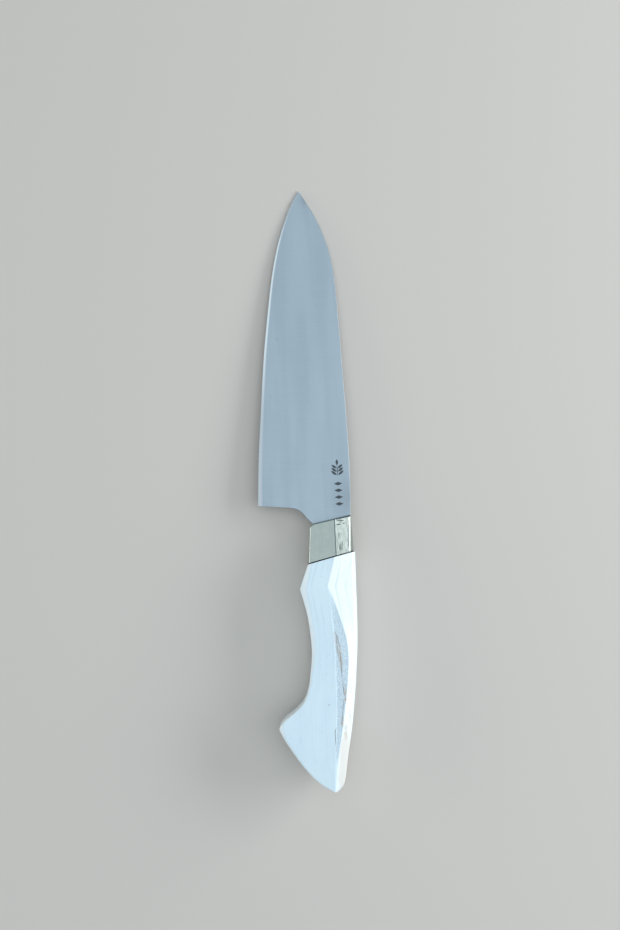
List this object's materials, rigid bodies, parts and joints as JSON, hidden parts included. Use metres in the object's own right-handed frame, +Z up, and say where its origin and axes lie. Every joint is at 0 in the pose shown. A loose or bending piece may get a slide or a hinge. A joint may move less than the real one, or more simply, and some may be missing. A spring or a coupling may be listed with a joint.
{
  "type": "chef knife",
  "caption": "Kitchen knife with a curved wedge-ground steel blade on a hidden tang, a canted faceted metal bolster and a faceted, hooked bone handle, lying flat on its side.",
  "frame": {"origin": "on the surface the knife lies on, under the middle of its bounding box", "axes": "+Y along the knife towards the blade's tip, +X towards the spine, +Z up out of the knife's left side; the knife lies on the ridge of its handle and on its tip, so its middle plane is tilted 2.6 degrees nose-down"},
  "size_m": [0.0486, 0.313, 0.0228],
  "materials": {
    "steel": "satin",
    "nickel_silver": "gloss",
    "fibre": "matte",
    "bone": "satin",
    "epoxy": "satin"
  },
  "bodies": {
    "root": {"blade": "steel", "bolster": "nickel_silver", "spacer": "fibre", "handle_half_left": "bone", "handle_half_right": "bone", "tang_bedding": "epoxy"}
  },
  "joints": []
}
